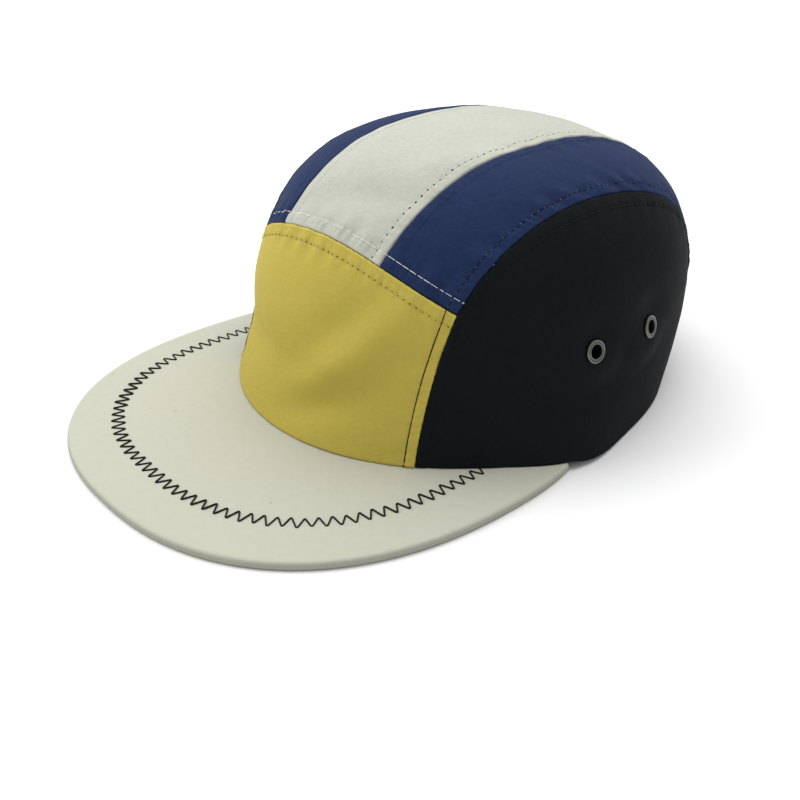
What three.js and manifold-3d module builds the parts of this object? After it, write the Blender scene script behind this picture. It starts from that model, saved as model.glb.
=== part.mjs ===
// Seven-panel running cap, in millimetres, +Z up. The brim points along -Y and the wearer's left is +X.
// The cap stands on a surface: the brim's flat underside and the rear rim are at z = 0.
import * as THREE from "three";
import { mergeVertices } from "three/addons/utils/BufferGeometryUtils.js";
import Module from "manifold-3d";

const wasm = await Module();
wasm.setup();

// Driving sizes
const WALL = 1.6; // sewn cloth with its lining fold
const SEAM_GAP = 0.3; // between two neighbouring panels
const REST_GAP = 0.3; // between the panels' foot and the brim's top

const CROWN = {
  halfWidth: 84.7, // at the widest level, to the outer face
  front: 87, // from the centre to the front and to the back
  back: 106.6,
  middle: 29.8, // height of the widest level
  rise: 73.1, // from there to the top
  drop: { front: 150, side: 120, back: 108 }, // how slowly the wall draws in below it
  bulge: { front: 2.44, side: 2.93, back: 2.34 }, // power of the upright section
  footFlare: { front: 10.2, side: 2.8, back: -8.4 }, // how far the foot stands out
  flarePower: 1.44,
  lean: 0.085, // backwards, for each millimetre of height
};

// The foot bulges where the brim ends at each side; the angles are behind the widest line
const BRIM_END_BULGE = { size: 8.3, at: -14.5, spread: 15.4 };

const BRIM = {
  halfWidth: 94.3,
  widestY: -63.5, // from the crown's centre
  reachFront: 103.6,
  reachBack: 100,
  outlinePower: 2.33,
  thickness: 3.3,
  underWall: 1.2, // how far its inner edge runs in past the wall
  endWidth: 3.2, // of its blunt end at each side, from the inner edge
  stations: 64,
  turnStep: 0.01, // between the points that give the outline's direction
};

// The rounded outer edge of the brim: how far in from the outline, and at what share of the thickness
const BRIM_EDGE = [
  { inset: 1.6, level: 1 },
  { inset: 0.5, level: 0.87 },
  { inset: 0, level: 0.6 },
  { inset: 0, level: 0.36 },
  { inset: 0.5, level: 0.1 },
  { inset: 1.4, level: 0 },
];

// Seams. An angle is measured round the crown from the middle of the front or of the back.
const FRONT_SEAM = { footAngle: 37.5, topAngle: 43.4, bend: 1.89, topHeight: 75.3, topFall: 17.6 };
const BACK_SEAM = { footAngle: 33, topAngle: 40, bend: 1, topHeight: 62, topFall: 11 };
const TOP_FALL_AT = 60; // half width at which a top seam has fallen by topFall

// The edges of the strips, as half widths: what they gain from the front seam to the back one,
// and how far they swell between
const CENTRE_STRIP = { front: 28.4, gain: -1.8, swell: 2.6 };
const OUTER_STRIP_SWELL = 4.8;

const EYELET = {
  outerRadius: 4.5,
  holeRadius: 2.7,
  barrelRadius: 3.2,
  flange: 0.7,
  bend: 0.25, // rolled edge
  sides: 24,
  clearance: 0.3,
  drillLength: 10,
};
const EYELETS = [
  { name: "front", angle: -9.5, height: 41.2 },
  { name: "rear", angle: 12.2, height: 41.2 },
];

const GRID = {
  front: [22, 12],
  centre: [8, 24],
  strip: [6, 24],
  side: [24, 16],
  back: [16, 10],
};

const COLOURS = {
  yellow: 0xb8a44c,
  white: 0xd6d7cb,
  blue: 0x283757,
  black: 0x17191a,
  canvas: 0xd0d0bb,
  gunmetal: 0x6e6d68,
};

const degrees = THREE.MathUtils.degToRad;
const lerp = THREE.MathUtils.lerp;
const FRONT = -Math.PI / 2; // azimuths, from +X towards +Y
const BACK = Math.PI / 2;
const FOOT = BRIM.thickness + REST_GAP;

// A size that changes round the crown, from its front over its sides to its back
function around(azimuth, size) {
  const s = Math.sin(azimuth);
  const front = Math.max(0, -s) ** 2;
  const back = Math.max(0, s) ** 2;
  return size.side + (size.front - size.side) * front + (size.back - size.side) * back;
}

function planRadius(azimuth) {
  const depth = Math.sin(azimuth) < 0 ? CROWN.front : CROWN.back;
  return 1 / Math.hypot(Math.cos(azimuth) / CROWN.halfWidth, Math.sin(azimuth) / depth);
}

function footFlare(azimuth, z) {
  const behind = THREE.MathUtils.radToDeg(Math.asin(Math.sin(azimuth)));
  const { size, at, spread } = BRIM_END_BULGE;
  const bulge = size * Math.exp(-(((behind - at) / spread) ** 2));
  const below = Math.max(0, CROWN.middle - z) / CROWN.middle;
  return (around(azimuth, CROWN.footFlare) + bulge) * below ** CROWN.flarePower;
}

// Where the wall is, round the crown at a height
function wallAt(azimuth, z) {
  const power = around(azimuth, CROWN.bulge);
  const span = z > CROWN.middle ? CROWN.rise : around(azimuth, CROWN.drop);
  const level = Math.min(1, Math.abs(z - CROWN.middle) / span);
  const radius = planRadius(azimuth) * (1 - level ** power) ** (1 / power) + footFlare(azimuth, z);
  return leaned(new THREE.Vector3(radius * Math.cos(azimuth), radius * Math.sin(azimuth), z));
}

function leaned(point) {
  point.y += CROWN.lean * point.z;
  return point;
}

// The same point on the crown as it would be without its lean
function upright(point) {
  return new THREE.Vector3(point.x, point.y - CROWN.lean * point.z, point.z);
}

// How far outside the upright crown a point is: 0 on it, less than 0 inside
function outside(point) {
  const azimuth = Math.atan2(point.y, point.x);
  const power = around(azimuth, CROWN.bulge);
  const span = point.z > CROWN.middle ? CROWN.rise : around(azimuth, CROWN.drop);
  const radius = Math.hypot(point.x, point.y) - footFlare(azimuth, point.z);
  const plan = Math.max(0, radius) / planRadius(azimuth);
  return plan ** power + (Math.abs(point.z - CROWN.middle) / span) ** power - 1;
}

function surfaceAlong(origin, direction) {
  let near = 0;
  let far = 200;
  for (let step = 0; step < 40; step += 1) {
    const half = (near + far) / 2;
    if (outside(origin.clone().addScaledVector(direction, half)) < 0) near = half;
    else far = half;
  }
  return origin.clone().addScaledVector(direction, near);
}

// A point of the top, at a fixed x and a tilt that runs from 0 at the front over the top to pi at the back
function overTop(x, tilt) {
  const origin = new THREE.Vector3(x, 0, CROWN.middle);
  return leaned(surfaceAlong(origin, new THREE.Vector3(0, -Math.cos(tilt), Math.sin(tilt))));
}

function tiltOf(point) {
  return Math.atan2(point.z - CROWN.middle, -upright(point).y);
}

function outward(point) {
  const step = 0.05;
  const slope = (axis) => {
    const high = point.clone();
    const low = point.clone();
    high[axis] += step;
    low[axis] -= step;
    return outside(upright(high)) - outside(upright(low));
  };
  return new THREE.Vector3(slope("x"), slope("y"), slope("z")).normalize();
}

// The top seam of the front or back panel
function topSeamHeight(seam, x) {
  return seam.topHeight - seam.topFall * (x / TOP_FALL_AT) ** 2;
}

function topSeamAt(seam, azimuth) {
  let point = wallAt(azimuth, seam.topHeight);
  for (let step = 0; step < 12; step += 1) point = wallAt(azimuth, topSeamHeight(seam, point.x));
  return point;
}

// The tilt at which the line of points with this x crosses a top seam
function topSeamTilt(seam, x) {
  const middle = seam === FRONT_SEAM ? FRONT : BACK;
  const side = seam === FRONT_SEAM ? 1 : -1;
  let near = 0;
  let far = degrees(60);
  for (let step = 0; step < 30; step += 1) {
    const half = (near + far) / 2;
    if (topSeamAt(seam, middle + side * half).x < Math.abs(x)) near = half;
    else far = half;
  }
  return tiltOf(topSeamAt(seam, middle + side * near));
}

// The lower edge: on the brim at the front, and on the surface that the cap stands on behind it
function rimAt(azimuth) {
  const flat = wallAt(azimuth, 0);
  const behind = Math.max(0, flat.y - RIM.leavesBrim);
  return wallAt(azimuth, FOOT * Math.exp(-behind / RIM.fall));
}
const RIM = { leavesBrim: brimOutline(brimEnd()).y + REST_GAP, fall: 16 };

const CORNER = {
  front: Math.abs(topSeamAt(FRONT_SEAM, FRONT + degrees(FRONT_SEAM.topAngle)).x),
  back: Math.abs(topSeamAt(BACK_SEAM, BACK - degrees(BACK_SEAM.topAngle)).x),
};

function centreEdge(along) {
  const { front, gain, swell } = CENTRE_STRIP;
  return front + gain * along + swell * 4 * along * (1 - along);
}

function stripEdge(along) {
  return lerp(CORNER.front, CORNER.back, along) + OUTER_STRIP_SWELL * 4 * along * (1 - along);
}

// A point of the strips, between two edges that are half widths
function stripPoint(x, along) {
  const tilt = lerp(topSeamTilt(FRONT_SEAM, x), topSeamTilt(BACK_SEAM, x), along);
  return overTop(x, tilt);
}

// A point of the front or back panel
function endPanelPoint(seam, across, up) {
  const middle = seam === FRONT_SEAM ? FRONT : BACK;
  const side = 2 * across - 1;
  const angle = lerp(seam.footAngle, seam.topAngle, up ** seam.bend);
  const top = topSeamAt(seam, middle + degrees(seam.topAngle) * side);
  const azimuth = middle + degrees(angle) * side;
  const foot = rimAt(middle + degrees(seam.footAngle) * side);
  return wallAt(azimuth, lerp(foot.z, top.z, up));
}

// The left side panel is stretched between its four seams, in directions from the crown's centre
const CENTRE = new THREE.Vector3(0, 0, CROWN.middle);

function headingOf(point) {
  const straight = upright(point);
  const azimuth = Math.atan2(straight.y, straight.x);
  const radius = Math.hypot(straight.x, straight.y) - footFlare(azimuth, point.z);
  const base = new THREE.Vector3(radius * Math.cos(azimuth), radius * Math.sin(azimuth), point.z);
  return base.sub(CENTRE).normalize();
}

function pointAtHeading(heading) {
  const azimuth = Math.atan2(heading.y, heading.x);
  const power = around(azimuth, CROWN.bulge);
  const span = heading.z > 0 ? CROWN.rise : around(azimuth, CROWN.drop);
  const level = Math.hypot(heading.x, heading.y) / planRadius(azimuth);
  const length = (level ** power + (Math.abs(heading.z) / span) ** power) ** (-1 / power);
  return wallAt(azimuth, CROWN.middle + heading.z * length);
}

function sidePoint(along, up) {
  const footStart = FRONT + degrees(FRONT_SEAM.footAngle);
  const footEnd = BACK - degrees(BACK_SEAM.footAngle);
  const low = (t) => headingOf(rimAt(lerp(footStart, footEnd, t)));
  const high = (t) => headingOf(stripPoint(stripEdge(t), t));
  const front = (t) => headingOf(endPanelPoint(FRONT_SEAM, 1, t));
  const back = (t) => headingOf(endPanelPoint(BACK_SEAM, 0, t));
  const sum = new THREE.Vector3();
  sum.addScaledVector(low(along), 1 - up).addScaledVector(high(along), up);
  sum.addScaledVector(front(up), 1 - along).addScaledVector(back(up), along);
  sum.addScaledVector(low(0), -(1 - along) * (1 - up)).addScaledVector(low(1), -along * (1 - up));
  sum.addScaledVector(high(0), -(1 - along) * up).addScaledVector(high(1), -along * up);
  return pointAtHeading(sum.normalize());
}

// Each edge of a panel draws back by half of the seam's gap
function openSeams(rows) {
  const draw = (edge, inner) => {
    const length = edge.distanceTo(inner);
    edge.lerp(inner, SEAM_GAP / 2 / length);
  };
  rows.forEach((row) => {
    draw(row[0], row[1]);
    draw(row[row.length - 1], row[row.length - 2]);
  });
  const last = rows.length - 1;
  rows[0].forEach((point, i) => draw(point, rows[1][i]));
  rows[last].forEach((point, i) => draw(point, rows[last - 1][i]));
}

// A closed mesh from rings of points that have the same count: a skin over each pair, and two ends
function loft(rings) {
  const count = rings[0].length;
  const positions = rings.flat().flatMap((p) => [p.x, p.y, p.z]);
  const index = [];
  for (let r = 0; r + 1 < rings.length; r += 1) {
    for (let i = 0; i < count; i += 1) {
      const j = (i + 1) % count;
      const [a, b, c, d] = [r * count + i, r * count + j, (r + 1) * count + j, (r + 1) * count + i];
      index.push(a, b, c, a, c, d);
    }
  }
  for (const [ring, reversed] of [[0, true], [rings.length - 1, false]]) {
    for (let i = 1; i + 1 < count; i += 1) {
      const [a, b, c] = [ring * count, ring * count + i, ring * count + i + 1];
      if (reversed) index.push(a, c, b);
      else index.push(a, b, c);
    }
  }
  return closedGeometry(positions, index);
}

function signedVolume(positions, index) {
  const corner = (i) => new THREE.Vector3().fromArray(positions, index[i] * 3);
  let volume = 0;
  for (let i = 0; i < index.length; i += 3) volume += corner(i).dot(corner(i + 1).cross(corner(i + 2))) / 6;
  return volume;
}

function closedGeometry(positions, index) {
  const faces = signedVolume(positions, index) < 0 ? index.slice().reverse() : index;
  const geometry = new THREE.BufferGeometry();
  geometry.setAttribute("position", new THREE.Float32BufferAttribute(positions, 3));
  geometry.setIndex(faces);
  return geometry;
}

// A panel of cloth: its outer face follows the crown, and its inner face lies one wall further in
function panel(pointAt, [cellsAcross, cellsUp]) {
  const rows = [];
  for (let j = 0; j <= cellsUp; j += 1) {
    const row = [];
    for (let i = 0; i <= cellsAcross; i += 1) row.push(pointAt(i / cellsAcross, j / cellsUp));
    rows.push(row);
  }
  const foot = rows[0].map((point) => point.z);
  openSeams(rows);
  rows[0].forEach((point, i) => {
    if (foot[i] < CROWN.middle) point.z = foot[i];
  });
  const outer = rows.flat();
  const inner = outer.map((point, k) => {
    const moved = point.clone().addScaledVector(outward(point), -WALL);
    if (k <= cellsAcross && point.z < CROWN.middle) moved.z = point.z;
    return moved;
  });
  const width = cellsAcross + 1;
  const positions = [...outer, ...inner].flatMap((p) => [p.x, p.y, p.z]);
  const index = [];
  const quad = (a, b, c, d) => index.push(a, b, c, a, c, d);
  for (let j = 0; j < cellsUp; j += 1) {
    for (let i = 0; i < cellsAcross; i += 1) {
      const a = j * width + i;
      quad(a, a + 1, a + width + 1, a + width);
      const b = outer.length + a;
      quad(b + width, b + width + 1, b + 1, b);
    }
  }
  const edge = [];
  for (let i = 0; i < cellsAcross; i += 1) edge.push(i);
  for (let j = 0; j < cellsUp; j += 1) edge.push(j * width + cellsAcross);
  for (let i = cellsAcross; i > 0; i -= 1) edge.push(cellsUp * width + i);
  for (let j = cellsUp; j > 0; j -= 1) edge.push(j * width);
  edge.forEach((a, k) => {
    const b = edge[(k + 1) % edge.length];
    quad(b, a, outer.length + a, outer.length + b);
  });
  return closedGeometry(positions, index);
}

// The brim's outline: half an ellipse in front of its widest line, and part of one behind it
function brimOutline(turn) {
  const forward = Math.cos(turn);
  const power = 2 / BRIM.outlinePower;
  const reach = forward > 0 ? BRIM.reachFront : BRIM.reachBack;
  const x = BRIM.halfWidth * Math.sign(Math.sin(turn)) * Math.abs(Math.sin(turn)) ** power;
  const y = BRIM.widestY - reach * Math.sign(forward) * Math.abs(forward) ** power;
  return new THREE.Vector3(x, y, 0);
}

// The inner edge of the brim lies under the panels' foot, a little inside the wall
function brimInner(azimuth) {
  const point = wallAt(azimuth, FOOT);
  const radius = Math.hypot(point.x, point.y) - WALL - BRIM.underWall;
  return new THREE.Vector3(radius * Math.cos(azimuth), radius * Math.sin(azimuth), 0);
}

// The turn at which the outline runs in under the wall, leaving the brim a blunt end
function brimEnd() {
  let near = Math.PI / 2;
  let far = degrees(170);
  for (let step = 0; step < 30; step += 1) {
    const half = (near + far) / 2;
    const point = brimOutline(half);
    const inner = brimInner(Math.atan2(point.y, point.x));
    if (Math.hypot(point.x, point.y) > Math.hypot(inner.x, inner.y) + BRIM.endWidth) near = half;
    else far = half;
  }
  return near;
}

function brimGeometry() {
  const end = brimEnd();
  const tip = brimOutline(end);
  const innerEnd = Math.atan2(tip.y, tip.x) - FRONT;
  const rings = [];
  for (let i = 0; i <= BRIM.stations; i += 1) {
    const share = (2 * i) / BRIM.stations - 1;
    const turn = end * share;
    const point = brimOutline(turn);
    const ahead = brimOutline(turn + BRIM.turnStep);
    const behind = brimOutline(turn - BRIM.turnStep);
    const inward = new THREE.Vector3(behind.y - ahead.y, ahead.x - behind.x, 0).normalize();
    const inner = brimInner(FRONT + innerEnd * share);
    const ring = BRIM_EDGE.map(({ inset, level }) => {
      const moved = point.clone().addScaledVector(inward, inset);
      moved.z = level * BRIM.thickness;
      return moved;
    });
    ring.push(inner, new THREE.Vector3(inner.x, inner.y, BRIM.thickness));
    rings.push(ring);
  }
  return loft(rings);
}

// An eyelet stands across the wall, its axis along +Z until it is placed
function eyeletGeometry() {
  const { outerRadius, holeRadius, barrelRadius, flange, bend, clearance, sides } = EYELET;
  const face = clearance + flange; // the outer flange's top above the cloth
  const back = -WALL - clearance; // where the inner flange starts
  const profile = [
    [holeRadius, back - flange],
    [outerRadius - bend, back - flange],
    [outerRadius, back],
    [barrelRadius, back],
    [barrelRadius, clearance],
    [outerRadius, clearance],
    [outerRadius - bend, face - bend],
    [outerRadius - 3 * bend, face],
    [holeRadius + bend, face],
    [holeRadius, face - bend],
    [holeRadius, back - flange],
  ].map(([radius, height]) => new THREE.Vector2(radius, height));
  const geometry = new THREE.LatheGeometry(profile, sides).rotateX(Math.PI / 2);
  return plain(geometry);
}

function plain(geometry) {
  geometry.deleteAttribute("normal");
  geometry.deleteAttribute("uv");
  const merged = mergeVertices(geometry, 1e-4);
  return closedGeometry(Array.from(merged.attributes.position.array), Array.from(merged.index.array));
}

function eyeletPlace({ angle, height }, side) {
  const point = wallAt(degrees(angle), height);
  const normal = outward(point);
  point.x *= side;
  normal.x *= side;
  const turn = new THREE.Quaternion().setFromUnitVectors(new THREE.Vector3(0, 0, 1), normal);
  return { point, turn };
}

function toSolid(geometry) {
  return new wasm.Manifold(
    new wasm.Mesh({
      numProp: 3,
      vertProperties: new Float32Array(geometry.attributes.position.array),
      triVerts: new Uint32Array(geometry.index.array),
    }),
  );
}

function withEyeletHoles(geometry, side) {
  let solid = toSolid(geometry);
  for (const eyelet of EYELETS) {
    const { point, turn } = eyeletPlace(eyelet, side);
    const radius = EYELET.barrelRadius + EYELET.clearance;
    const drill = new THREE.CylinderGeometry(radius, radius, EYELET.drillLength, EYELET.sides).rotateX(Math.PI / 2);
    drill.applyQuaternion(turn).translate(point.x, point.y, point.z);
    solid = solid.subtract(toSolid(plain(drill)));
  }
  const mesh = solid.getMesh();
  return closedGeometry(Array.from(mesh.vertProperties), Array.from(mesh.triVerts));
}

function mirrored(geometry) {
  const positions = Array.from(geometry.attributes.position.array, (value, i) => (i % 3 === 0 ? -value : value));
  return closedGeometry(positions, Array.from(geometry.index.array));
}

const cap = new THREE.Group();

function add(name, geometry, colour, roughness, metalness = 0) {
  const material = new THREE.MeshStandardMaterial({ color: colour, roughness, metalness });
  const mesh = new THREE.Mesh(geometry, material);
  mesh.name = name;
  cap.add(mesh);
  return mesh;
}

const CLOTH_ROUGHNESS = 0.8;
add("front_panel", panel((u, v) => endPanelPoint(FRONT_SEAM, u, v), GRID.front), COLOURS.yellow, CLOTH_ROUGHNESS);
add("back_panel", panel((u, v) => endPanelPoint(BACK_SEAM, u, v), GRID.back), COLOURS.black, CLOTH_ROUGHNESS);

const centre = panel((u, v) => stripPoint(lerp(-1, 1, u) * centreEdge(v), v), GRID.centre);
add("centre_panel", centre, COLOURS.white, CLOTH_ROUGHNESS);

const strip = panel((u, v) => stripPoint(lerp(centreEdge(v), stripEdge(v), u), v), GRID.strip);
add("left_strip_panel", strip, COLOURS.blue, CLOTH_ROUGHNESS);
add("right_strip_panel", mirrored(strip), COLOURS.blue, CLOTH_ROUGHNESS);

const side = withEyeletHoles(panel(sidePoint, GRID.side), 1);
add("left_side_panel", side, COLOURS.black, CLOTH_ROUGHNESS);
add("right_side_panel", mirrored(side), COLOURS.black, CLOTH_ROUGHNESS);

add("brim", brimGeometry(), COLOURS.canvas, CLOTH_ROUGHNESS);

for (const [hand, sign] of [["left", 1], ["right", -1]]) {
  for (const eyelet of EYELETS) {
    const mesh = add(`${hand}_${eyelet.name}_eyelet`, eyeletGeometry(), COLOURS.gunmetal, 0.4, 0.9);
    const { point, turn } = eyeletPlace(eyelet, sign);
    mesh.position.copy(point);
    mesh.quaternion.copy(turn);
  }
}

// The origin is the middle of the cap's box, on the surface that it stands on
cap.updateMatrixWorld(true);
const box = new THREE.Box3().setFromObject(cap, true);
cap.position.set(0, -(box.min.y + box.max.y) / 2, -box.min.z);

export default cap;
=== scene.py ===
"""A seven-panel running cap, dressed: sewn cloth panels, a canvas brim, its stitching and its vent eyelets.

Everything is in metres. The brim points along -Y, the wearer's left is +X and the cap stands on z = 0.
"""
import math

import bpy
import numpy as np
from mathutils import Matrix, Vector


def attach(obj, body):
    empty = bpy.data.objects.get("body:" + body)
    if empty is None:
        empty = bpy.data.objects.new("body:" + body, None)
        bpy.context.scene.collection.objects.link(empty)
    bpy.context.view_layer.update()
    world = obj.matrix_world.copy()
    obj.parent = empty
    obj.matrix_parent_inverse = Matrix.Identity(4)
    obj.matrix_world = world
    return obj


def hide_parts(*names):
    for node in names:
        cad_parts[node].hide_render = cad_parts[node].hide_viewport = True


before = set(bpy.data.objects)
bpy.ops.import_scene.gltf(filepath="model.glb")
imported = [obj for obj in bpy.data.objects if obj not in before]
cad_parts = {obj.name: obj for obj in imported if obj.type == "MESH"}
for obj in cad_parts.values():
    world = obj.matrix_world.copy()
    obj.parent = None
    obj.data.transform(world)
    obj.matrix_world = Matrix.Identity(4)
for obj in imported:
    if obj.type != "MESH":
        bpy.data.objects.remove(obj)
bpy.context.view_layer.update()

MM = 0.001

# The crown and the brim, as the solids have them
CROWN_Y = 28.776 * MM  # the crown's centre, behind the origin
CROWN = {
    "half_width": 84.7 * MM,
    "front": 87 * MM,
    "back": 106.6 * MM,
    "middle": 29.8 * MM,
    "rise": 73.1 * MM,
    "drop": {"front": 150 * MM, "side": 120 * MM, "back": 108 * MM},
    "bulge": {"front": 2.44, "side": 2.93, "back": 2.34},
    "foot_flare": {"front": 10.2 * MM, "side": 2.8 * MM, "back": -8.4 * MM},
    "flare_power": 1.44,
    "lean": 0.085,
}
BRIM_END_BULGE = {"size": 8.3 * MM, "at": -14.5, "spread": 15.4}
BRIM = {
    "half_width": 94.3 * MM,
    "widest_y": -63.5 * MM,
    "reach_front": 103.6 * MM,
    "reach_back": 100 * MM,
    "outline_power": 2.33,
    "thickness": 3.3 * MM,
    "under_wall": 1.2 * MM,
    "end_width": 3.2 * MM,
}
WALL = 1.6 * MM
REST_GAP = 0.3 * MM
FOOT = BRIM["thickness"] + REST_GAP
RIM_FALL = 16 * MM
FRONT, BACK = -math.pi / 2, math.pi / 2  # azimuths, from +X towards +Y
FRONT_SEAM = {
    "middle": FRONT, "turn": 1, "foot_angle": 37.5, "top_angle": 43.4, "bend": 1.89,
    "top_height": 75.3 * MM, "top_fall": 17.6 * MM,
}
BACK_SEAM = {
    "middle": BACK, "turn": -1, "foot_angle": 33, "top_angle": 40, "bend": 1,
    "top_height": 62 * MM, "top_fall": 11 * MM,
}
TOP_FALL_AT = 60 * MM
CENTRE_STRIP = {"front": 28.4 * MM, "gain": -1.8 * MM, "swell": 2.6 * MM}
OUTER_STRIP_SWELL = 4.8 * MM
EYELETS = {"front": {"angle": -9.5, "height": 41.2 * MM}, "rear": {"angle": 12.2, "height": 41.2 * MM}}
CENTRE = np.array([0.0, 0.0, CROWN["middle"]])

# Sewing
CELL = 0.75 * MM  # of the panels' meshes
TURNED_EDGE = [0, 0.12, 0.3, 0.55, 0.9, 1.35]  # lines beside a seam, in millimetres
SEAM = {
    "turn": 0.8 * MM,  # how far from a seam the cloth starts to turn down into it
    "turn_power": 2.2,
    "depth": 0.55 * MM,
    "hem_depth": 0.6,  # as a share of a seam's
    "allowance": 0.32 * MM,  # how much the folded allowance lifts the cloth
    "allowance_edge": 1.2 * MM,  # how far past the row the allowance reaches
    "fade": 2.2 * MM,
    "proud_width": 2.6 * MM,
    "row_dip": 0.3 * MM,
    "row_width": 0.75 * MM,
    "scallop_reach": 0.9 * MM,
    "gap": 0.06 * MM,
}
PUCKER = {
    "long": 11 * MM, "long_size": 0.26 * MM, "long_reach": 5 * MM,
    "short": 3.1 * MM, "short_size": 0.12 * MM, "short_reach": 2.2 * MM, "short_at": 0.8,
}
# The cloth's unevenness away from the seams
UNEVEN = [
    {"length": 46 * MM, "size": 0.18 * MM, "seed": 3},
    {"length": 15 * MM, "size": 0.06 * MM, "seed": 4},
]
CALM_BELOW = 12 * MM  # the folds die out towards the rim
THREAD_LIFT = 0.02  # of the stitches over the cloth, in millimetres
UV_SPAN = 0.25  # metres of cloth across the whole of a UV map
CLOTH_UV = "cloth_uv"
WEAVE = {"cloth": 0.62 * MM, "canvas": 0.8 * MM}  # the width of two threads
RUBBED_AND_LIT_RIM = {"width": 1.3 * MM, "share": 0.8}  # where a seam's edge is drawn lighter: worn cloth and a painted highlight on its rolled fold
PAINTED_SHADE_EDGE = {"level": 0.62, "fade": 0.3, "share": 0.6}  # the brim's side, painted darker than its top as shade
SHARP = {"cloth": 48, "brim": 60, "eyelet": 55}  # the angles from which an edge is drawn sharp


def lerp(a, b, share):
    return a + (b - a) * share


def smooth(share):
    share = np.clip(share, 0, 1)
    return share * share * (3 - 2 * share)


def stack(x, y, z):
    return np.stack(np.broadcast_arrays(x, y, z), axis=-1)


def unit(vectors):
    return vectors / np.linalg.norm(vectors, axis=-1, keepdims=True)


# The crown's closed form, with its centre at x = y = 0
def around(azimuth, size):
    s = np.sin(azimuth)
    front, back = np.maximum(0, -s) ** 2, np.maximum(0, s) ** 2
    return size["side"] + (size["front"] - size["side"]) * front + (size["back"] - size["side"]) * back


def plan_radius(azimuth):
    depth = np.where(np.sin(azimuth) < 0, CROWN["front"], CROWN["back"])
    return 1 / np.hypot(np.cos(azimuth) / CROWN["half_width"], np.sin(azimuth) / depth)


def foot_flare(azimuth, z):
    behind = np.degrees(np.arcsin(np.sin(azimuth)))
    off = (behind - BRIM_END_BULGE["at"]) / BRIM_END_BULGE["spread"]
    bulge = BRIM_END_BULGE["size"] * np.exp(-(off ** 2))
    below = np.maximum(0, CROWN["middle"] - z) / CROWN["middle"]
    return (around(azimuth, CROWN["foot_flare"]) + bulge) * below ** CROWN["flare_power"]


def leaned(point, direction=1):
    moved = point.copy()
    moved[..., 1] += direction * CROWN["lean"] * point[..., 2]
    return moved


def upright(point):
    return leaned(point, -1)


def span_of(azimuth, above):
    return np.where(above, CROWN["rise"], around(azimuth, CROWN["drop"]))


def wall_at(azimuth, z):
    power = around(azimuth, CROWN["bulge"])
    level = np.minimum(1, np.abs(z - CROWN["middle"]) / span_of(azimuth, z > CROWN["middle"]))
    radius = plan_radius(azimuth) * (1 - level ** power) ** (1 / power) + foot_flare(azimuth, z)
    return leaned(stack(radius * np.cos(azimuth), radius * np.sin(azimuth), z))


def outside(point):
    x, y, z = np.moveaxis(point, -1, 0)
    azimuth = np.arctan2(y, x)
    power = around(azimuth, CROWN["bulge"])
    radius = np.maximum(0, np.hypot(x, y) - foot_flare(azimuth, z))
    height = np.abs(z - CROWN["middle"]) / span_of(azimuth, z > CROWN["middle"])
    return (radius / plan_radius(azimuth)) ** power + height ** power - 1


def over_top(x, tilt):
    x, tilt = np.broadcast_arrays(x, tilt)
    origin = stack(x, 0, CROWN["middle"])
    direction = stack(0, -np.cos(tilt), np.sin(tilt))
    near, far = np.zeros(x.shape), np.full(x.shape, 200 * MM)
    for _ in range(40):
        half = (near + far) / 2
        inside = outside(origin + direction * half[..., None]) < 0
        near, far = np.where(inside, half, near), np.where(inside, far, half)
    return leaned(origin + direction * near[..., None])


def outward(point):
    step = 0.05 * MM
    slopes = []
    for axis in range(3):
        move = np.zeros(3)
        move[axis] = step
        slopes.append(outside(upright(point + move)) - outside(upright(point - move)))
    return unit(np.stack(slopes, axis=-1))


def top_seam_at(seam, azimuth):
    point = wall_at(azimuth, seam["top_height"])
    for _ in range(12):
        point = wall_at(azimuth, seam["top_height"] - seam["top_fall"] * (point[..., 0] / TOP_FALL_AT) ** 2)
    return point


def tilt_of(point):
    return np.arctan2(point[..., 2] - CROWN["middle"], -upright(point)[..., 1])


def seam_tilt(seam, x):
    points = top_seam_at(seam, seam["middle"] + seam["turn"] * np.linspace(0, math.pi / 3, 600))
    return np.interp(np.abs(x), points[:, 0], tilt_of(points))


def brim_outline(turn):
    power = 2 / BRIM["outline_power"]
    forward, across = np.cos(turn), np.sin(turn)
    reach = np.where(forward > 0, BRIM["reach_front"], BRIM["reach_back"])
    x = BRIM["half_width"] * np.sign(across) * np.abs(across) ** power
    return stack(x, BRIM["widest_y"] - reach * np.sign(forward) * np.abs(forward) ** power, 0)


def brim_inner(azimuth):
    point = wall_at(azimuth, FOOT)
    radius = np.hypot(point[..., 0], point[..., 1]) - WALL - BRIM["under_wall"]
    return stack(radius * np.cos(azimuth), radius * np.sin(azimuth), 0)


def brim_end():
    near, far = math.pi / 2, math.radians(170)
    for _ in range(30):
        half = (near + far) / 2
        point = brim_outline(half)
        inner = brim_inner(np.arctan2(point[1], point[0]))
        if np.hypot(*point[:2]) > np.hypot(*inner[:2]) + BRIM["end_width"]:
            near = half
        else:
            far = half
    return near


BRIM_END = brim_end()
LEAVES_BRIM = brim_outline(BRIM_END)[1] + REST_GAP


def rim_at(azimuth):
    behind = np.maximum(0, wall_at(azimuth, 0)[..., 1] - LEAVES_BRIM)
    return wall_at(azimuth, FOOT * np.exp(-behind / RIM_FALL))


def corner_x(seam):
    corner = top_seam_at(seam, seam["middle"] + seam["turn"] * math.radians(seam["top_angle"]))
    return abs(float(corner[0]))


CORNER = {"front": corner_x(FRONT_SEAM), "back": corner_x(BACK_SEAM)}


def centre_edge(along):
    swell = CENTRE_STRIP["swell"] * 4 * along * (1 - along)
    return CENTRE_STRIP["front"] + CENTRE_STRIP["gain"] * along + swell


def strip_edge(along):
    return lerp(CORNER["front"], CORNER["back"], along) + OUTER_STRIP_SWELL * 4 * along * (1 - along)


def over_crown(x, along):
    return over_top(x, lerp(seam_tilt(FRONT_SEAM, x), seam_tilt(BACK_SEAM, x), along))


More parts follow.
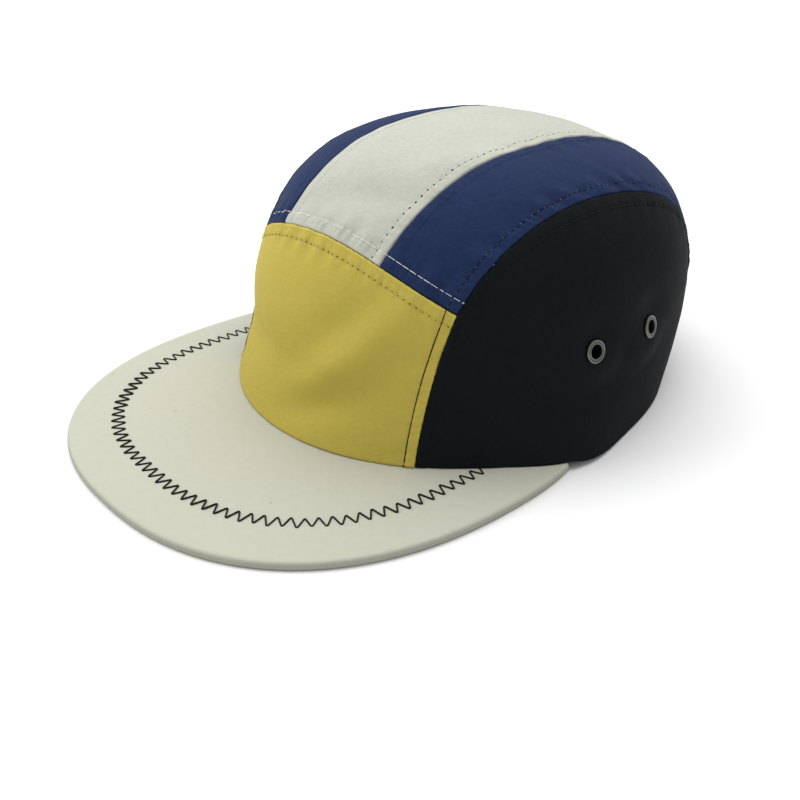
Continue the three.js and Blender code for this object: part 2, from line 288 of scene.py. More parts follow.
def end_panel(seam, across, up):
    middle, side = seam["middle"], 2 * across - 1
    angle = lerp(seam["foot_angle"], seam["top_angle"], up ** seam["bend"])
    top = top_seam_at(seam, middle + np.radians(seam["top_angle"]) * side)
    foot = rim_at(middle + np.radians(seam["foot_angle"]) * side)
    return wall_at(middle + np.radians(angle) * side, lerp(foot[..., 2], top[..., 2], up))


def front_panel(across, up):
    return end_panel(FRONT_SEAM, across, up)


def back_panel(across, up):
    return end_panel(BACK_SEAM, across, up)


def centre_panel(across, along):
    return over_crown((2 * across - 1) * centre_edge(along), along)


def strip_panel(across, along):
    return over_crown(lerp(centre_edge(along), strip_edge(along), across), along)


def heading_of(point):
    straight = upright(point)
    azimuth = np.arctan2(straight[..., 1], straight[..., 0])
    radius = np.hypot(straight[..., 0], straight[..., 1]) - foot_flare(azimuth, point[..., 2])
    return unit(stack(radius * np.cos(azimuth), radius * np.sin(azimuth), point[..., 2]) - CENTRE)


def point_at_heading(heading):
    azimuth = np.arctan2(heading[..., 1], heading[..., 0])
    power = around(azimuth, CROWN["bulge"])
    level = np.hypot(heading[..., 0], heading[..., 1]) / plan_radius(azimuth)
    height = np.abs(heading[..., 2]) / span_of(azimuth, heading[..., 2] > 0)
    length = (level ** power + height ** power) ** (-1 / power)
    return wall_at(azimuth, CROWN["middle"] + heading[..., 2] * length)


def side_panel(along, up):
    """The left side, stretched between its four seams in directions from the crown's centre."""
    start = FRONT + math.radians(FRONT_SEAM["foot_angle"])
    end = BACK - math.radians(BACK_SEAM["foot_angle"])

    def low(t):
        return heading_of(rim_at(lerp(start, end, t)))

    def high(t):
        return heading_of(over_crown(strip_edge(t), t))

    a, u = along[..., None], up[..., None]
    first, last = np.zeros(1), np.ones(1)
    total = low(along) * (1 - u) + high(along) * u
    total = total + heading_of(front_panel(1, up)) * (1 - a) + heading_of(back_panel(0, up)) * a
    total = total - low(first) * (1 - a) * (1 - u) - low(last) * a * (1 - u)
    total = total - high(first) * (1 - a) * u - high(last) * a * u
    return point_at_heading(unit(total))


# Random but repeatable unevenness
def waves(points, wavelength, seed):
    """A smooth height of about -1 to 1 that two neighbouring panels share where they meet."""
    random = np.random.default_rng(seed)
    count, total = 14, 0
    for _ in range(count):
        direction = unit(random.normal(size=3))
        length = wavelength * random.uniform(0.7, 1.5)
        total = total + np.sin(points @ direction * 2 * math.pi / length + random.uniform(0, 2 * math.pi))
    return total / math.sqrt(count)


def ripples(along, wavelength, seed):
    random = np.random.default_rng(seed)
    count, total = 5, 0
    for _ in range(count):
        length = wavelength * random.uniform(0.75, 1.4)
        total = total + np.sin(along * 2 * math.pi / length + random.uniform(0, 2 * math.pi))
    return total / math.sqrt(count)


EYELET = {
    "sides": 72,
    "outer": 4.5 * MM,
    "hole": 2.7 * MM,
    "barrel": 3.2 * MM,
    "flange": 0.7 * MM,
    "clearance": 0.3 * MM,
    "roll": 0.5 * MM,  # the radius of the flange's rolled rim
    "lip": 0.28 * MM,
    "groove": 0.2 * MM,
    "under_inset": 0.15 * MM,  # how far the flange's underside stands in from its rim
    "sunk": 0.05 * MM,
    "washer": {"depth": 0.2 * MM, "inset": 0.1 * MM, "round": 0.3 * MM, "round_at": 0.15 * MM},
    # where the flange's high parts are drawn lighter: worn metal and a painted highlight
    "rubbed_and_lit": {"below": 0.3 * MM, "fade": 0.28 * MM, "hole_fade": 0.2 * MM},
    "cloth_hole": 3.6 * MM,
    "press": 0.25 * MM,  # how far it presses the cloth in
    "press_width": 1.6 * MM,
    "lean": (0, 0.06, 0.19),  # the soft cloth tips it up and back a little from the wall's own facing
    "lean_reach": 18 * MM,
}


def eyelet_place(which, hand):
    """Where an eyelet stands on the crown, and which way it faces."""
    point = wall_at(math.radians(EYELETS[which]["angle"]), EYELETS[which]["height"])
    normal = unit(outward(point) + EYELET["lean"])
    flip = np.array([hand, 1, 1])
    return point * flip + [0, CROWN_Y, 0], normal * flip


# Soft rises and hollows of the cloth, in millimetres and degrees. The columns are: across and up from the
# middle of the panel's foot, length, width, turn, rise.
DENTS = {
    "front_panel": [
        (24, 33, 26, 9, 44, 2.8),
        (19, 46, 22, 8.5, 42, -2.4),
        (18, 17, 28, 7.5, 32, -2.7),
        (54, 43, 14, 8, 10, -1.7),
        (-30, 24, 15, 9, 20, -1.2),
        (46, 62, 16, 7, 30, 0.5),
        (-30, 52, 26, 12, -20, 0.4),
    ],
    "centre_panel": [
        (2, 19, 24, 7, 14, -1.4),
        (-8, 38, 20, 10, -24, 1.2),
        (22, 50, 16, 8, 60, 0.9),
        (10, 70, 24, 12, -30, -0.9),
    ],
    "left_side_panel": [
        (-20, 20, 40, 12, 6, -0.5),
        (35, 60, 26, 14, -40, 0.4),
    ],
}

# Where the sewn crown is slack and sinks or swells across its seams, from its centre, in millimetres
SLACK = [
    {"at": (-55, -3, 94), "reach": 26, "rise": -1.1},
    {"at": (-52, -58, 66), "reach": 13, "rise": -1.0},
    {"at": (-50, -66, 43), "reach": 15, "rise": 0.8},
    {"at": (17, 70, 93), "reach": 20, "rise": -1.2},
    {"at": (60, 75, 61), "reach": 14, "rise": -0.8},
]
FOLD_INSIDE = 0.85  # the share of a fold's height that the inner face follows


def slack_height(base):
    height = 0
    for spot in SLACK:
        off = np.linalg.norm(base / MM - spot["at"], axis=-1) / spot["reach"]
        height = height + spot["rise"] * MM * np.exp(-off ** 2)
    return height


def dent_height(name, across, up):
    height = 0
    for dent_across, dent_up, length, width, turn, rise in DENTS.get(name, []):
        turn = math.radians(turn)
        x, y = across / MM - dent_across, up / MM - dent_up
        long = (x * math.cos(turn) + y * math.sin(turn)) / length
        short = (y * math.cos(turn) - x * math.sin(turn)) / width
        height = height + rise * MM * np.exp(-long ** 2 - short ** 2)
    return height


def cloth_lines(length):
    """Shares of a length where a panel's mesh has its lines: close together in the turned edges."""
    near = np.array(TURNED_EDGE) * MM
    count = round((length - 2 * near[-1]) / CELL)
    middle = np.linspace(near[-1], length - near[-1], count + 1)
    return np.concatenate([near[:-1], middle, length - near[-2::-1]]) / length


def run(points, axis):
    """Lengths along the lines of a grid, from their start."""
    steps = np.linalg.norm(np.diff(points, axis=axis), axis=-1)
    start = np.zeros_like(np.take(steps, [0], axis=axis))
    return np.concatenate([start, np.cumsum(steps, axis=axis)], axis=axis)


class Panel:
    """A cloth panel: a fine grid over the crown, with its seams pressed in and puckered."""

    def __init__(self, name, shape, hand, size, edges):
        self.name = name
        self.edges = dict(zip(("left", "right", "top", "foot"), edges))
        across, up = np.meshgrid(cloth_lines(size[0] * MM), cloth_lines(size[1] * MM))
        base = shape(across, up)
        normal = outward(base)
        flip = np.array([hand, 1, 1])
        base, normal = base * flip, normal * flip
        left, below = run(base, 1), run(base, 0)
        self.distance = {"left": left, "right": left[:, -1:] - left, "foot": below, "top": below[-1:] - below}
        along = {"left": below, "right": below, "foot": left, "top": left}
        height = slack_height(base) + dent_height(name, left - left[:, -1:] / 2, below)
        for wave in UNEVEN:
            height = height + wave["size"] * waves(base, wave["length"], wave["seed"])
        height = height * (1 - np.exp(-((base[..., 2] / CALM_BELOW) ** 2)))
        for number, (side, edge) in enumerate(self.edges.items()):
            seed = 17 * number + sum(map(ord, name))
            height = height + edge_height(self.distance[side], along[side], edge, seed)
        base = self.scalloped(base, along)
        self.keep = np.ones((base.shape[0] - 1, base.shape[1] - 1), bool)
        eyelets = EYELETS if shape is side_panel else ()
        for which in eyelets:
            height = self.fit_eyelet(eyelet_place(which, hand), base, normal, height)
        self.normal = normal
        self.outer = base + normal * height[..., None] + [0, CROWN_Y, 0]
        self.inner = base + normal * (FOLD_INSIDE * height - WALL)[..., None] + [0, CROWN_Y, 0]
        if self.edges["foot"] is HEM:
            self.inner[0, :, 2] = self.outer[0, :, 2] = base[0, :, 2]
        seams = [self.distance[side] for side, edge in self.edges.items() if edge is not HEM]
        self.seam_distance = np.minimum.reduce(seams)
        self.uv = np.stack([left, below], axis=-1) / UV_SPAN

    def fit_eyelet(self, place, base, normal, height):
        """Tips the cloth to an eyelet, presses it in and cuts its hole."""
        centre, axis = place
        offset = base + [0, CROWN_Y, 0] - centre
        off_axis = np.linalg.norm(offset - (offset @ axis)[..., None] * axis, axis=-1)
        near = np.linalg.norm(offset, axis=-1) < 4 * EYELET["outer"]
        cut = near & (off_axis < EYELET["cloth_hole"])
        self.keep &= ~(cut[:-1, :-1] | cut[1:, :-1] | cut[:-1, 1:] | cut[1:, 1:])
        pressed = smooth((EYELET["outer"] + EYELET["press_width"] - off_axis) / EYELET["press_width"])
        reach = EYELET["lean_reach"]
        tipped = near * smooth((reach - off_axis) / (reach - EYELET["outer"]))
        level = -(offset @ axis) / np.maximum(0.5, normal @ axis)
        return lerp(height, level - EYELET["press"] * pressed, tipped)

    def scalloped(self, base, along):
        """The stitches pull a panel's edge in at each needle hole."""
        moved = base.copy()
        inward = {
            "left": unit(np.gradient(base, axis=1)),
            "foot": unit(np.gradient(base, axis=0)),
        }
        inward["right"], inward["top"] = -inward["left"], -inward["foot"]
        for side, edge in self.edges.items():
            if edge is HEM:
                continue
            swing = 0.5 + 0.5 * np.sin(along[side] * 2 * math.pi / PUCKER["short"])
            pull = edge["scallop"] * MM * swing
            pull = (pull + SEAM["gap"]) * np.exp(-self.distance[side] / SEAM["scallop_reach"])
            moved += inward[side] * pull[..., None]
        return moved

    def row(self, side):
        """Points of the row of stitches beside an edge, and the way that the cloth faces there."""
        lines, distance = self.distance[side], self.edges[side]["row"]
        grids = (self.outer, self.normal)
        if side in ("foot", "top"):
            lines = lines.T
            grids = tuple(np.swapaxes(grid, 0, 1) for grid in grids)
        found = []
        for grid in grids:
            points = []
            for line, row in zip(lines, grid):
                order = np.argsort(line)
                points.append([np.interp(distance, line[order], row[order, k]) for k in range(3)])
            found.append(np.array(points))
        return found


def edge_height(distance, along, edge, seed):
    """How a seam or the hem raises and lowers the cloth beside it."""
    turned = np.clip(1 - distance / SEAM["turn"], 0, 1) ** SEAM["turn_power"]
    if edge is HEM:
        return SEAM["hem_depth"] * (-SEAM["depth"] * turned)
    row = edge["row"]
    height = -SEAM["depth"] * edge["turn"] * turned
    height = height + edge["proud"] * MM * smooth(1 - distance / SEAM["proud_width"])
    allowance = SEAM["allowance"] * edge["allowance"]
    height = height + allowance * smooth((row + SEAM["allowance_edge"] - distance) / SEAM["fade"])
    dip = SEAM["row_dip"] * edge["dip"]
    height = height - dip * np.exp(-(((distance - row) / SEAM["row_width"]) ** 2))
    long_fade = np.exp(-(((distance - row) / PUCKER["long_reach"]) ** 2))
    short_fade = np.exp(-(((distance - PUCKER["short_at"] * row) / PUCKER["short_reach"]) ** 2))
    long = ripples(along, PUCKER["long"], seed) * long_fade
    short = ripples(along, PUCKER["short"], seed + 1) * short_fade
    return height + edge["pucker"] * (PUCKER["long_size"] * long + PUCKER["short_size"] * short)


# Meshes
def cells_of(index):
    """The four-sided faces between neighbours of a grid of point numbers."""
    return np.stack([index[:-1, :-1], index[:-1, 1:], index[1:, 1:], index[1:, :-1]], axis=-1)


def point_numbers(rows, columns):
    return np.arange(rows * columns).reshape(rows, columns)


def closed_round(index):
    """The same grid with its first column repeated as its last."""
    return np.hstack([index, index[:, :1]])


def build_mesh(name, points, faces, sharp_angle, uv=None, values=None):
    """A smooth mesh from its points and faces, with UVs in face order and values in point order."""
    mesh = bpy.data.meshes.new(name)
    mesh.from_pydata(points.tolist(), [], faces)
    if uv is not None:
        layer = mesh.uv_layers.new(name=CLOTH_UV)
        layer.data.foreach_set("uv", uv.astype(np.float32).ravel())
    for key, value in (values or {}).items():
        attribute = mesh.attributes.new(key, "FLOAT", "POINT")
        attribute.data.foreach_set("value", value.astype(np.float32))
    mesh.shade_smooth()
    mesh.set_sharp_from_angle(angle=math.radians(sharp_angle))
    return mesh


def panel_mesh(panel):
    """The outer and the inner face of a panel, with walls wherever the cloth ends."""
    index = point_numbers(*panel.outer.shape[:2])
    count = index.size
    cells = cells_of(index)[panel.keep]
    outer = panel.outer.reshape(-1, 3)
    side_a, side_b = outer[cells[:, 1]] - outer[cells[:, 0]], outer[cells[:, 3]] - outer[cells[:, 0]]
    facing = np.einsum("ij,ij->i", np.cross(side_a, side_b), panel.normal.reshape(-1, 3)[cells[:, 0]])
    if facing.sum() < 0:
        cells = cells[:, ::-1]
    edges = np.concatenate([cells[:, [k, (k + 1) % 4]] for k in range(4)])
    forward, backward = edges @ [count, 1], edges @ [1, count]
    border = edges[~np.isin(forward, backward)]
    walls = np.stack([border[:, 1], border[:, 0], border[:, 0] + count, border[:, 1] + count], axis=-1)
    faces = np.concatenate([cells, cells[:, ::-1] + count, walls])
    used, faces = np.unique(faces, return_inverse=True)  # the points in the eyelets' holes have no face
    points = np.concatenate([outer, panel.inner.reshape(-1, 3)])[used]
    uv = np.tile(panel.uv.reshape(-1, 2), (2, 1))[used][faces.ravel()]
    values = {"seam_distance": np.tile(panel.seam_distance.ravel(), 2)[used]}
    return build_mesh(panel.name, points, faces.reshape(-1, 4).tolist(), SHARP["cloth"], uv, values)


def add_object(name, data):
    made = bpy.data.objects.new(name, data)
    bpy.context.scene.collection.objects.link(made)
    return made


def add_piece(name, mesh, slot, node):
    """A finished piece of the cap, at the origin, that stands for one solid of the frame."""
    mesh.materials.append(PAINTS[slot])
    piece = add_object(name, mesh)
    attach(piece, "root")
    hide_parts(node)


# Node trees
def both_ways(operation):
    """An operator that adds a Math node, and its form for a number on the left."""
    def forward(self, other):
        return self.maths(operation, self, other)

    def reflected(self, other):
        return self.maths(operation, other, self)

    return forward, reflected


class Wire:
    """A node's output, which adds Math nodes when it is used in an expression."""

    def __init__(self, tree, socket):
        self.tree = tree
        self.socket = socket

    def maths(self, operation, first, second=0.0):
        return self.tree.node("ShaderNodeMath", {"operation": operation}, {0: first, 1: second})

    __add__, __radd__ = both_ways("ADD")
    __sub__, __rsub__ = both_ways("SUBTRACT")
    __mul__, __rmul__ = both_ways("MULTIPLY")
    __truediv__, __rtruediv__ = both_ways("DIVIDE")
    __mod__, __rmod__ = both_ways("FLOORED_MODULO")

    def sine(self):
        return self.maths("SINE", self)

    def clamped(self):
        return self.tree.node("ShaderNodeClamp", {}, {"Value": self})


class Tree:
    """A node tree that is written as calls and expressions."""

    def __init__(self, tree):
        self.tree = tree

    def node(self, kind, settings=None, sockets=None, output=0):
        made = self.tree.nodes.new(kind)
        for key, value in (settings or {}).items():
            setattr(made, key, value)
        for key, value in (sockets or {}).items():
            self.feed(self.find(made.inputs, key), value)
        return Wire(self, self.find(made.outputs, output))

    def part(self, vector, axis):
        return self.node("ShaderNodeSeparateXYZ", {}, {0: vector}, axis)

    def vector(self, **parts):
        return self.node("ShaderNodeCombineXYZ", {}, parts)

    @staticmethod
    def find(sockets, key):
        if isinstance(key, int):
            return sockets[key]
        named = [s for s in sockets if s.name == key or s.identifier == key]
        return next((s for s in named if s.enabled), named[0])

    def feed(self, socket, value):
        if isinstance(value, Wire):
            self.tree.links.new(value.socket, socket)
        else:
            socket.default_value = value


# Geometry nodes
class Recipe(Tree):
    """A Geometry Nodes tree with named inputs, run on a mesh of path lines."""

    def __init__(self, name, *lengths, **others):
        super().__init__(bpy.data.node_groups.new(name, "GeometryNodeTree"))
        interface = self.tree.interface
        interface.new_socket(name="Geometry", in_out="OUTPUT", socket_type="NodeSocketGeometry")
        inputs = {"Geometry": "Geometry"} | dict.fromkeys(lengths, "Float") | others | {"Thread": "Material"}
        for key, kind in inputs.items():
            interface.new_socket(name=key, in_out="INPUT", socket_type="NodeSocket" + kind)
        self.start = self.tree.nodes.new("NodeGroupInput")
        self.end = self.tree.nodes.new("NodeGroupOutput")

    def given(self, name):
        return Wire(self, self.find(self.start.outputs, name))

    def tube(self, path, sides):
        """The thread along a path."""
        sockets = {"Resolution": sides, "Radius": self.given("Thread radius")}
        section = self.node("GeometryNodeCurvePrimitiveCircle", {}, sockets)
        sockets = {"Curve": path, "Profile Curve": section, "Fill Caps": True}
        return self.node("GeometryNodeCurveToMesh", {}, sockets)

    def along_rows(self, instance, low, high, seed):
        """Copies of an instance along the rows, one for each stitch, standing on the cloth."""
        rows = self.node("GeometryNodeMeshToCurve", {}, {"Mesh": self.given("Geometry")})
        sockets = {"Curve": rows, "Length": self.given("Pitch")}
        at = self.node("GeometryNodeCurveToPoints", {"mode": "LENGTH"}, sockets)
        tangent = Wire(self, self.find(at.socket.node.outputs, "Tangent"))
        vector = {"data_type": "FLOAT_VECTOR"}
        facing = self.node("GeometryNodeInputNamedAttribute", vector, {"Name": "facing"})
        turn = self.node("FunctionNodeAlignRotationToVector", {"axis": "X"}, {"Vector": tangent})
        settings = {"axis": "Z", "pivot_axis": "X"}
        turn = self.node("FunctionNodeAlignRotationToVector", settings, {"Rotation": turn, "Vector": facing})
        sockets = {0: facing, "Scale": self.given("Lift")}
        raised = self.node("ShaderNodeVectorMath", {"operation": "SCALE"}, sockets)
        at = self.node("GeometryNodeSetPosition", {}, {"Geometry": at, "Offset": raised})
        size = self.node("FunctionNodeRandomValue", vector, {0: low, 1: high, "Seed": seed})
        sockets = {"Points": at, "Instance": instance, "Rotation": turn, "Scale": size}
        return self.node("GeometryNodeInstanceOnPoints", {}, sockets)

    def finish(self, geometry):
        realized = self.node("GeometryNodeRealizeInstances", {}, {"Geometry": geometry})
        sockets = {"Geometry": realized, "Material": self.given("Thread")}
        self.feed(self.end.inputs[0], self.node("GeometryNodeSetMaterial", {}, sockets))
        return self

    def run(self, name, lines, values, slot):
        """Runs the recipe on path lines and keeps the result as a plain mesh."""
        piece = add_object(name, path_mesh(name, lines))
        modifier = piece.modifiers.new("recipe", "NODES")
        modifier.node_group = self.tree
        for item in self.tree.interface.items_tree:
            if item.name in values:
                modifier[item.identifier] = values[item.name]
        bpy.context.view_layer.update()
        evaluated = piece.evaluated_get(bpy.context.evaluated_depsgraph_get())
        mesh = bpy.data.meshes.new_from_object(evaluated)
        piece.modifiers.remove(modifier)
        piece.data = mesh
        mesh.name = name
        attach(piece, "root")


def path_mesh(name, lines):
    """Lines of joined points, each with the way that the cloth faces under it."""
    points = np.concatenate([points for points, _ in lines])
    facing = np.concatenate([facing for _, facing in lines])
    edges = []
    start = 0
    for line, _ in lines:
        edges += [(start + k, start + k + 1) for k in range(len(line) - 1)]
        start += len(line)
    mesh = bpy.data.meshes.new(name)
    mesh.from_pydata(points.tolist(), edges, [])
    attribute = mesh.attributes.new("facing", "FLOAT_VECTOR", "POINT")
    attribute.data.foreach_set("vector", facing.astype(np.float32).ravel())
    return mesh


def stitch_recipe():
    """Rows of lockstitches: short threads that rise from one needle hole and dip into the next."""
    recipe = Recipe("stitch rows", "Pitch", "Length", "Thread radius", "Arch", "Lift")
    length, arch = recipe.given("Length"), recipe.given("Arch")
    ends = {"Start": recipe.vector(X=-0.5 * length), "End": recipe.vector(X=0.5 * length)}
    thread = recipe.node("GeometryNodeCurvePrimitiveLine", {}, ends)
    thread = recipe.node("GeometryNodeResampleCurve", {}, {"Curve": thread, "Count": 6})
    share = recipe.part(recipe.node("GeometryNodeInputPosition"), "X") / (0.5 * length)
    rise = recipe.vector(Z=arch * (1 - share * share))
    thread = recipe.node("GeometryNodeSetPosition", {}, {"Geometry": thread, "Offset": rise})
    least, most = (0.94, 0.9, 0.8), (1.04, 1.12, 1.1)
    return recipe.finish(recipe.along_rows(recipe.tube(thread, 7), least, most, 11))


def needle_recipe():
    """Specks at the needle holes between the stitches: the yellow row's are painted shade, the navy row's
    painted glints.
    """
    recipe = Recipe("needle holes", "Pitch", "Radius", "Lift", "Flatness", Smallest="Vector")
    sockets = {"Segments": 8, "Rings": 5, "Radius": recipe.given("Radius")}
    speck = recipe.node("GeometryNodeMeshUVSphere", {}, sockets)
    flat = recipe.vector(X=1.25, Y=0.9, Z=recipe.given("Flatness"))
    speck = recipe.node("GeometryNodeTransform", {}, {"Geometry": speck, "Scale": flat})
    largest = (1.15, 1.1, 1.0)
    return recipe.finish(recipe.along_rows(speck, recipe.given("Smallest"), largest, 5))


def zigzag_recipe():
    """One thread to and fro across a path on the brim."""
    recipe = Recipe("zigzag", "Pitch", "Width", "Thread radius", "Bend", "Lift")
    path = recipe.node("GeometryNodeMeshToCurve", {}, {"Mesh": recipe.given("Geometry")})
    sockets = {"Curve": path, "Length": recipe.given("Pitch") * 0.5}
    path = recipe.node("GeometryNodeResampleCurve", {"mode": "LENGTH"}, sockets)
    tangent = recipe.node("GeometryNodeInputTangent")
    across = recipe.node("ShaderNodeVectorMath", {"operation": "CROSS_PRODUCT"}, {0: tangent, 1: (0, 0, 1)})
    side = recipe.node("GeometryNodeInputIndex") % 2 * 2 - 1
    vector = {"data_type": "FLOAT_VECTOR"}
    least, most = (0.42,) * 3, (0.56,) * 3  # how far to each side, as a share of the width
    random = recipe.node("FunctionNodeRandomValue", vector, {0: least, 1: most, "Seed": 0})
    swing = {0: across, "Scale": side * recipe.part(random, "X") * recipe.given("Width")}
    offset = recipe.node("ShaderNodeVectorMath", {"operation": "SCALE"}, swing)
    raised = recipe.vector(Z=recipe.given("Lift"))
    offset = recipe.node("ShaderNodeVectorMath", {"operation": "ADD"}, {0: offset, 1: raised})
    thread = recipe.node("GeometryNodeSetPosition", {}, {"Geometry": path, "Offset": offset})
    sockets = {"Curve": thread, "Count": 4, "Radius": recipe.given("Bend"), "Limit Radius": True}
    thread = recipe.node("GeometryNodeFilletCurve", {"mode": "POLY"}, sockets)
    return recipe.finish(recipe.tube(thread, 8))


# Materials
def linear(red, green, blue):
    """A colour as the renderer takes it, from its 0 to 255 values on a screen."""
    def one(value):
        value = value / 255
        return value / 12.92 if value <= 0.04045 else ((value + 0.055) / 1.055) ** 2.4
    return one(red), one(green), one(blue), 1.0


class Paint(Tree):
    """A material, built as expressions and ending in its one surface shader."""

    def __init__(self, name):
        self.material = bpy.data.materials.new(name)
        self.material.use_nodes = True
        super().__init__(self.material.node_tree)
        self.shader = self.tree.nodes["Principled BSDF"]

    def surface(self, **sockets):
        for key, value in sockets.items():
            self.feed(self.shader.inputs[key.replace("_", " ")], value)
        return self.material

    def mix(self, share, first, second):
        sockets = {0: share, "A_Color": first, "B_Color": second}
        return self.node("ShaderNodeMix", {"data_type": "RGBA"}, sockets, "Result_Color")

    def noise(self, place, scale, detail, roughness=0.5):
        sockets = {"Vector": place, "Scale": scale, "Detail": detail, "Roughness": roughness}
        return self.node("ShaderNodeTexNoise", {}, sockets, "Fac")

    def bump(self, height, distance, strength, normal=None):
        sockets = {"Height": height, "Distance": distance, "Strength": strength}
        if normal is not None:
            sockets["Normal"] = normal
        return self.node("ShaderNodeBump", {}, sockets)

    def cloth_place(self):
        return self.node("ShaderNodeUVMap", {"uv_map": CLOTH_UV})

    def object_place(self):
        return self.node("ShaderNodeTexCoord", {}, {}, "Object")

    def attribute(self, name):
        return self.node("ShaderNodeAttribute", {"attribute_name": name}, {}, "Fac")

    def weave(self, place, thread):
        """A plain weave's height, 0 to 1: threads that pass over and under each other."""
        turns = 2 * math.pi * UV_SPAN / thread
        warp, weft = ((self.part(place, axis) * turns).sine() for axis in "XY")
        return warp * weft * 0.5 + 0.5


def shade(colour, factor):
    return tuple(min(1, value * factor) for value in colour[:3]) + (1.0,)


def contrast(share, gain):
    """A share around a half, spread out and kept between 0 and 1."""
    return ((share - 0.5) * gain + 0.5).clamped()


def cloth_paint(name, colour, rim_light, specular=0.12, mottle=0.05):
    """Light woven cloth: fine threads, a little unevenness, and seam edges drawn lighter as worn cloth and as
    a painted highlight.
    """
    paint = Paint(name)
    place, uv = paint.object_place(), paint.cloth_place()
    broad = paint.noise(place, 34, 3)
    fine = paint.noise(place, 520, 3, 0.6)
    share = contrast(broad * 0.4 + fine * 0.6, 2.6)
    body = paint.mix(share, shade(colour, 1 - mottle), shade(colour, 1 + mottle))
    # Painted highlight and wear: the cloth is mixed lighter near each seam, where its rolled edge would catch
    # the light
    rubbed_and_lit = (1 - paint.attribute("seam_distance") / RUBBED_AND_LIT_RIM["width"]).clamped() * RUBBED_AND_LIT_RIM["share"]
    body = paint.mix(rubbed_and_lit, body, shade(colour, rim_light))
    weave = paint.weave(uv, WEAVE["cloth"])
    height = paint.bump(weave, 0.05 * MM, 0.6)
    height = paint.bump(paint.noise(place, 650, 3, 0.6), 0.3 * MM, 0.8, height)
    return paint.surface(
        Base_Color=body, Roughness=0.8, Normal=height, Sheen_Weight=0.02, Sheen_Roughness=0.4,
        Specular_IOR_Level=specular,
    )


def canvas_paint():
    """Unbleached canvas: a coarser weave with brown specks of husk in it."""
    paint = Paint("brim canvas")
    place, uv = paint.object_place(), paint.cloth_place()
    pale, warm = linear(189, 191, 177), linear(194, 193, 176)
    body = paint.mix(paint.noise(place, 22, 3), pale, warm)
    patches = paint.noise(place, 300, 3, 0.6)
    body = paint.mix(contrast(patches, 1.4) * 0.5, body, linear(180, 181, 167))
    dots = paint.node("ShaderNodeTexVoronoi", {}, {"Vector": place, "Scale": 170.0}, "Distance")
    some = paint.noise(place, 90, 1)
    husk = (1 - dots * 7).clamped() * ((some - 0.6) * 12).clamped()
    body = paint.mix(husk * 0.55, body, linear(120, 96, 66))
    # Painted shade: the canvas is mixed darker down the brim's side, below its top
    level, fade = (BRIM["thickness"] * PAINTED_SHADE_EDGE[key] for key in ("level", "fade"))
    edge = (1 - (paint.part(place, "Z") - level) / fade).clamped()
    body = paint.mix(edge * PAINTED_SHADE_EDGE["share"], body, linear(146, 148, 135))
    weave = paint.weave(uv, WEAVE["canvas"])
    height = paint.bump(weave, 0.05 * MM, 0.6)
    height = paint.bump(paint.noise(place, 320, 3), 0.12 * MM, 0.5, height)
    return paint.surface(Base_Color=body, Roughness=0.85, Normal=height, Specular_IOR_Level=0.15)


def thread_paint(name, colour):
    """Spun thread, with its twist."""
    paint = Paint(name)
    place = paint.object_place()
    body = paint.mix(paint.noise(place, 900, 2), shade(colour, 0.85), shade(colour, 1.12))
    twist = paint.bump(paint.noise(place, 2600, 2), 0.06 * MM, 0.7)
    return paint.surface(Base_Color=body, Roughness=0.6, Normal=twist, Specular_IOR_Level=0.2)


def gunmetal_paint():
    """Dark plated brass, mixed lighter on its high parts as worn metal and as a painted highlight."""
    paint = Paint("gunmetal")
    place = paint.object_place()
    smudge = paint.noise(place, 700, 4, 0.6)
    # Painted highlight and wear: the flange's top is mixed towards the light colour
    share = (paint.attribute("rubbed_and_lit") * 0.75 + smudge * 0.5 - 0.12).clamped()
    body = paint.mix(share, linear(38, 40, 37), linear(126, 128, 120))
    scratches = paint.bump(paint.noise(place, 1800, 3), 0.03 * MM, 0.5)
    return paint.surface(Base_Color=body, Metallic=0.9, Roughness=smudge * 0.25 + 0.25, Normal=scratches)


def floor_paint():
    paint = Paint("floor")
    return paint.surface(Base_Color=linear(252, 252, 252), Roughness=0.9, Specular_IOR_Level=0.1)


PAINTS = {
    "yellow_cloth": cloth_paint("yellow cloth", linear(189, 172, 78), 1.15),
    "white_cloth": cloth_paint("white cloth", linear(185, 187, 175), 1.06, mottle=0.09),
    "blue_cloth": cloth_paint("blue cloth", linear(31, 47, 82), 1.1, specular=0.1, mottle=0.2),
    "black_cloth": cloth_paint("black cloth", linear(20, 23, 25), 1.2, specular=0.06, mottle=0.12),
    "canvas": canvas_paint(),
    "gunmetal": gunmetal_paint(),
}
THREADS = {
    "white": (236, 236, 230),
    "yellow": (202, 182, 92),
    "navy": (46, 62, 100),
    "dark_navy": (14, 22, 44),
    # this brown is painted shade in the yellow row's needle holes
    "brown": (104, 86, 40),
    # a painted highlight: pale specks for glints on the navy row's stitches
    "grey": (150, 155, 168),
    "black": (18, 18, 17),
    "dark": (13, 15, 18),
}
for tint, colour in THREADS.items():
    PAINTS[tint + "_thread"] = thread_paint(tint.replace("_", " ") + " thread", linear(*colour))

HEM = None  # an open edge, folded under


def sewn(**changes):
    """A sewn edge. Row is a distance, proud and scallop are millimetres, the rest are shares of the usual."""
    usual = {"row": 4.6 * MM, "proud": 0, "scallop": 0.1, "turn": 1, "pucker": 1, "dip": 1, "allowance": 1}
    return usual | changes


